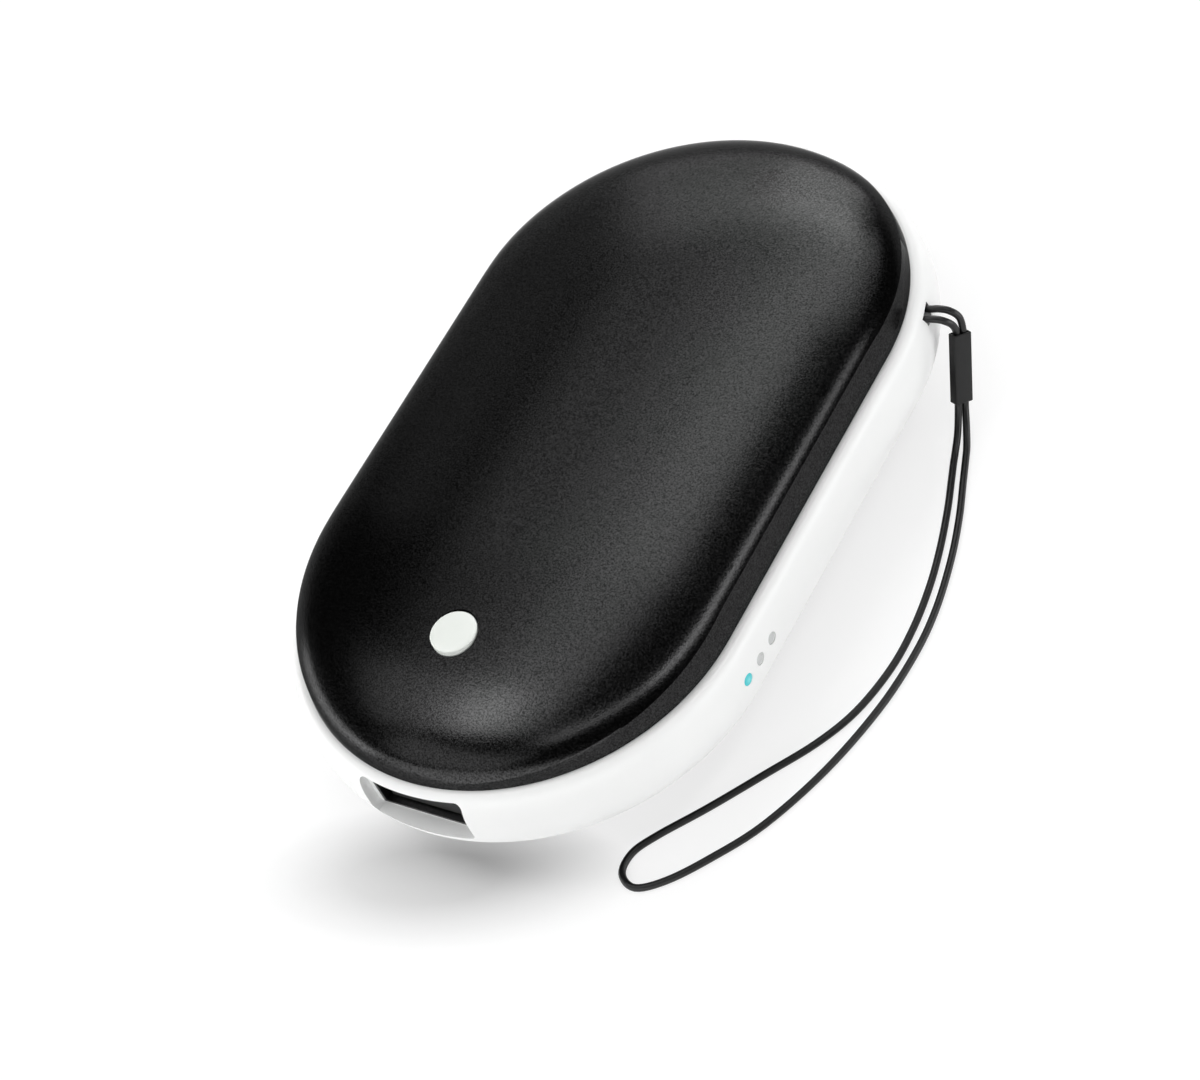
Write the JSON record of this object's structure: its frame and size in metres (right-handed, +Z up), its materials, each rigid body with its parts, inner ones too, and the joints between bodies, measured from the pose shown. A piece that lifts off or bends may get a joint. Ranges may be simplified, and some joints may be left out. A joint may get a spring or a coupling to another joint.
{
  "type": "rechargeable hand warmer",
  "caption": "Pill-shaped pocket hand warmer with domed black metal covers on a white frame, a push button, a power socket, state lamps and a wrist strap.",
  "frame": {"origin": "under the middle of the body, on the surface that the lower cover rests on", "axes": "+Z up through the covers, +Y along the body away from the USB socket, +X to the side with the lamps and the strap"},
  "size_m": [0.0706, 0.1018, 0.0257],
  "materials": {
    "black_aluminium": "bead-blasted and black anodised, satin with a fine grain",
    "white_plastic": "satin moulded white plastic",
    "button_plastic": "semi-gloss moulded white plastic",
    "black_plastic": "matt moulded black plastic",
    "spring_steel": "bright zinc-plated or spring steel",
    "socket_steel": "drawn nickel-plated steel sheet",
    "socket_plastic": "matt black moulded insulator",
    "gold_contact": "gold-plated spring contact",
    "board": "green solder mask",
    "ferrite": "matt grey-black ferrite",
    "can_metal": "bright drawn aluminium can",
    "cell_wrap": "shrink-wrapped in smooth green film",
    "paper": "matt fish paper",
    "nickel": "thin bright nickel strip",
    "heater_film": "amber polyimide film with etched heating tracks",
    "foam": "closed-cell grey foam",
    "thermistor_bead": "brown epoxy bead",
    "lead_red": "red silicone insulation",
    "lead_black": "black silicone insulation",
    "lead_grey": "grey insulation",
    "lit_lamp": "lit cyan lamp",
    "unlit_lamp": "unlit lamp in clear resin",
    "lit_pin": "clear pin glowing cyan",
    "clear_pin": "clear pin, unlit",
    "strap_cord": "smooth tightly braided black cord",
    "sleeve_rubber": "soft matt black rubber"
  },
  "bodies": {
    "body": {"top_cover": "black_aluminium", "bottom_cover": "black_aluminium", "mid_frame": "white_plastic", "switch_body": "black_plastic", "switch_dome": "spring_steel", "circuit_board": "board", "board_screws": "spring_steel", "usb_shell": "socket_steel", "usb_tongue": "socket_plastic", "usb_contacts": "gold_contact", "charge_shell": "socket_steel", "charge_tongue": "socket_plastic", "charge_contacts": "gold_contact", "controller_chip": "black_plastic", "charger_chip": "black_plastic", "power_inductor": "ferrite", "capacitors": "can_metal", "battery_tray": "white_plastic", "tray_screws": "spring_steel", "battery_cell_left": "cell_wrap", "battery_cell_right": "cell_wrap", "insulator_paper": "paper", "nickel_strip_front": "nickel", "nickel_strip_rear": "nickel", "heater_film_top": "heater_film", "heater_film_bottom": "heater_film", "foam_pad_top": "foam", "foam_pad_bottom": "foam", "thermistor": "thermistor_bead", "thermistor_lead": "lead_grey", "battery_lead_red": "lead_red", "battery_lead_black": "lead_black", "heater_leads_top": "lead_red", "heater_leads_bottom": "lead_red", "lamp_lead": "lead_grey", "lamp_board": "board", "lamp_led_lit": "lit_lamp", "lamp_leds_unlit": "unlit_lamp", "light_pin_lit": "lit_pin", "light_pins_unlit": "clear_pin", "strap_tie": "strap_cord", "strap_cord": "strap_cord", "strap_sleeve": "sleeve_rubber"},
    "button": {"power_button": "button_plastic", "switch_plunger": "black_plastic"}
  },
  "joints": [
    {"name": "button_press", "type": "slide", "parent": "body", "child": "button", "axis": [0, 0, -1], "range_m": [0, 0.0003], "stiffness_N_per_m": 3000, "deforming": ["switch_dome"]}
  ]
}
